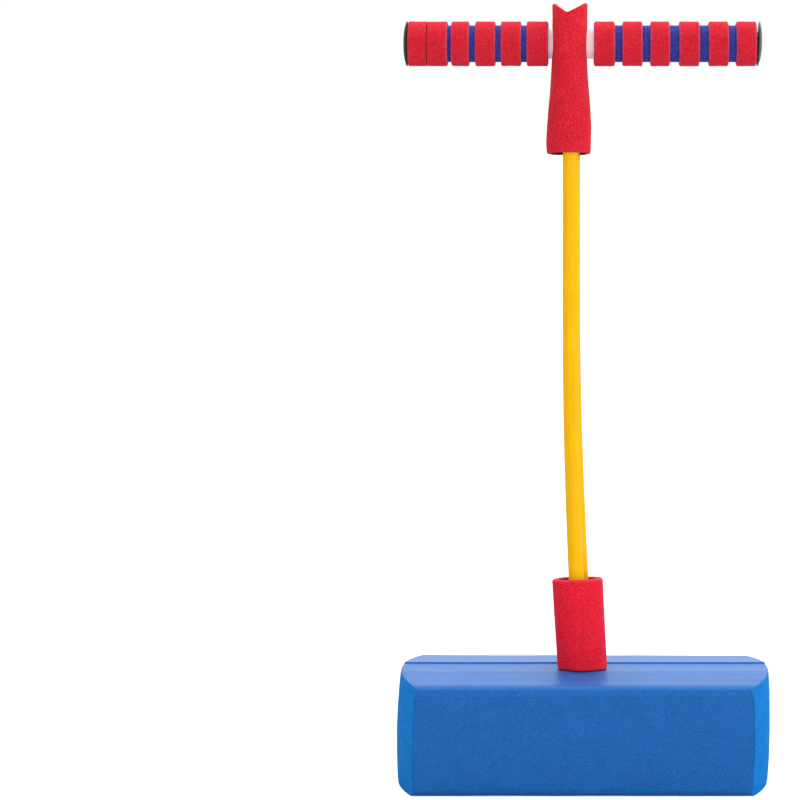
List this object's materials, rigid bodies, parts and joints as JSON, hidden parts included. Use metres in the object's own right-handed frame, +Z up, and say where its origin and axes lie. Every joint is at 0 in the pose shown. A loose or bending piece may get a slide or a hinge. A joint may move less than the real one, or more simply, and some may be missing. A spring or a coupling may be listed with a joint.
{
  "type": "foam pogo jumper",
  "caption": "Child's foam jumper: a squeaking foam block to stand on, a pair of stretchy rubber cords and a cross handle with ribbed foam grips.",
  "frame": {"origin": "centre of the block's underside, on the floor", "axes": "+X along the block and the handle towards the squeaker end, +Y to the rear, +Z up the cords"},
  "size_m": [0.3, 0.122, 0.6236],
  "materials": {
    "block_foam": "satin",
    "red_foam": "matte",
    "grip_liner": "matte",
    "cord_rubber": "satin",
    "cap_plastic": "satin",
    "tube_plastic": "satin",
    "squeaker_rubber": "satin",
    "anchor_plastic": "satin"
  },
  "bodies": {
    "base": {"base_block": "block_foam", "bottom_plug": "block_foam", "squeaker_plug": "red_foam", "squeaker_bellows": "squeaker_rubber", "anchor_disc": "anchor_plastic", "front_stopper": "anchor_plastic", "rear_stopper": "anchor_plastic", "front_cord_tail": "cord_rubber", "rear_cord_tail": "cord_rubber"},
    "squeaker_top": {"squeaker_reed": "anchor_plastic"},
    "collar": {"base_collar": "red_foam"},
    "cord_00": {"front_cord_00": "cord_rubber", "rear_cord_00": "cord_rubber"},
    "cord_01": {"front_cord_01": "cord_rubber", "rear_cord_01": "cord_rubber"},
    "cord_02": {"front_cord_02": "cord_rubber", "rear_cord_02": "cord_rubber"},
    "cord_03": {"front_cord_03": "cord_rubber", "rear_cord_03": "cord_rubber"},
    "cord_04": {"front_cord_04": "cord_rubber", "rear_cord_04": "cord_rubber"},
    "cord_05": {"front_cord_05": "cord_rubber", "rear_cord_05": "cord_rubber"},
    "cord_06": {"front_cord_06": "cord_rubber", "rear_cord_06": "cord_rubber"},
    "cord_07": {"front_cord_07": "cord_rubber", "rear_cord_07": "cord_rubber"},
    "cord_08": {"front_cord_08": "cord_rubber", "rear_cord_08": "cord_rubber"},
    "cord_09": {"front_cord_09": "cord_rubber", "rear_cord_09": "cord_rubber"},
    "cord_10": {"front_cord_10": "cord_rubber", "rear_cord_10": "cord_rubber"},
    "cord_top": {"cord_loop": "cord_rubber", "handle_sleeve": "red_foam"},
    "handle_core": {"core_tube": "tube_plastic"},
    "grips": {"left_cap": "cap_plastic", "right_cap": "cap_plastic", "left_liner": "grip_liner", "right_liner": "grip_liner", "left_ring_1": "red_foam", "left_ring_2": "red_foam", "left_ring_3": "red_foam", "left_ring_4": "red_foam", "left_ring_5": "red_foam", "left_ring_6": "red_foam", "right_ring_1": "red_foam", "right_ring_2": "red_foam", "right_ring_3": "red_foam", "right_ring_4": "red_foam", "right_ring_5": "red_foam", "right_ring_6": "red_foam"}
  },
  "joints": [
    {"name": "squeak_press", "type": "slide", "parent": "base", "child": "squeaker_top", "axis": [0, 0, 1], "range_m": [-0.01, 0], "stiffness_N_per_m": 150, "deforming": ["squeaker_bellows"]},
    {"name": "collar_lift", "type": "slide", "parent": "base", "child": "collar", "axis": [0, 0, 1], "range_m": [0, 0.015]},
    {"name": "cord_stretch", "type": "slide", "parent": "base", "child": "cord_00", "axis": [0, 0, 1], "range_m": [0, 0.3], "stiffness_N_per_m": 300},
    {"name": "cord_sway_1", "type": "hinge", "parent": "cord_00", "child": "cord_01", "pos_m": [-0.00536, 0, 0.191], "axis": [0, 1, 0], "range_deg": [-20, 20], "stiffness_Nm_per_rad": 2},
    {"name": "cord_bend_1", "type": "hinge", "parent": "cord_01", "child": "cord_02", "pos_m": [-0.00643, 0, 0.217], "axis": [-1, 0, 0], "range_deg": [-22.5, 22.5], "stiffness_Nm_per_rad": 1.5},
    {"name": "cord_bend_2", "type": "hinge", "parent": "cord_02", "child": "cord_03", "pos_m": [-0.00751, 0, 0.247], "axis": [-1, 0, 0], "range_deg": [-22.5, 22.5], "stiffness_Nm_per_rad": 1.5},
    {"name": "cord_bend_3", "type": "hinge", "parent": "cord_03", "child": "cord_04", "pos_m": [-0.0084, 0, 0.277], "axis": [-1, 0, 0], "range_deg": [-22.5, 22.5], "stiffness_Nm_per_rad": 1.5},
    {"name": "cord_bend_4", "type": "hinge", "parent": "cord_04", "child": "cord_05", "pos_m": [-0.00907, 0, 0.307], "axis": [-1, 0, 0], "range_deg": [-22.5, 22.5], "stiffness_Nm_per_rad": 1.5},
    {"name": "cord_bend_5", "type": "hinge", "parent": "cord_05", "child": "cord_06", "pos_m": [-0.00951, 0, 0.337], "axis": [-1, 0, 0], "range_deg": [-22.5, 22.5], "stiffness_Nm_per_rad": 1.5},
    {"name": "cord_bend_6", "type": "hinge", "parent": "cord_06", "child": "cord_07", "pos_m": [-0.00971, 0, 0.367], "axis": [-1, 0, 0], "range_deg": [-22.5, 22.5], "stiffness_Nm_per_rad": 1.5},
    {"name": "cord_bend_7", "type": "hinge", "parent": "cord_07", "child": "cord_08", "pos_m": [-0.00975, 0, 0.397], "axis": [-1, 0, 0], "range_deg": [-22.5, 22.5], "stiffness_Nm_per_rad": 1.5},
    {"name": "cord_bend_8", "type": "hinge", "parent": "cord_08", "child": "cord_09", "pos_m": [-0.00975, 0, 0.427], "axis": [-1, 0, 0], "range_deg": [-22.5, 22.5], "stiffness_Nm_per_rad": 1.5},
    {"name": "cord_twist", "type": "hinge", "parent": "cord_09", "child": "cord_10", "pos_m": [-0.00975, 0, 0.456], "axis": [0, 0, 1], "range_deg": [-30, 30], "stiffness_Nm_per_rad": 0.3},
    {"name": "cord_sway_2", "type": "hinge", "parent": "cord_10", "child": "cord_top", "pos_m": [-0.00975, 0, 0.483], "axis": [0, 1, 0], "range_deg": [-20, 20], "stiffness_Nm_per_rad": 2},
    {"name": "handle_shift", "type": "slide", "parent": "cord_top", "child": "handle_core", "axis": [1, 0, 0], "range_m": [-0.0035, 0.0023]},
    {"name": "grip_turn", "type": "hinge", "parent": "handle_core", "child": "grips", "pos_m": [0, 0, 0.5909], "axis": [1, 0, 0], "continuous": true}
  ],
  "couplings": [
    {"joint": "cord_bend_2", "follows": "cord_bend_1", "ratio": 1},
    {"joint": "cord_bend_3", "follows": "cord_bend_1", "ratio": 1},
    {"joint": "cord_bend_4", "follows": "cord_bend_1", "ratio": 1},
    {"joint": "cord_bend_5", "follows": "cord_bend_1", "ratio": 1},
    {"joint": "cord_bend_6", "follows": "cord_bend_1", "ratio": 1},
    {"joint": "cord_bend_7", "follows": "cord_bend_1", "ratio": 1},
    {"joint": "cord_bend_8", "follows": "cord_bend_1", "ratio": 1},
    {"joint": "cord_sway_2", "follows": "cord_sway_1", "ratio": 1}
  ]
}
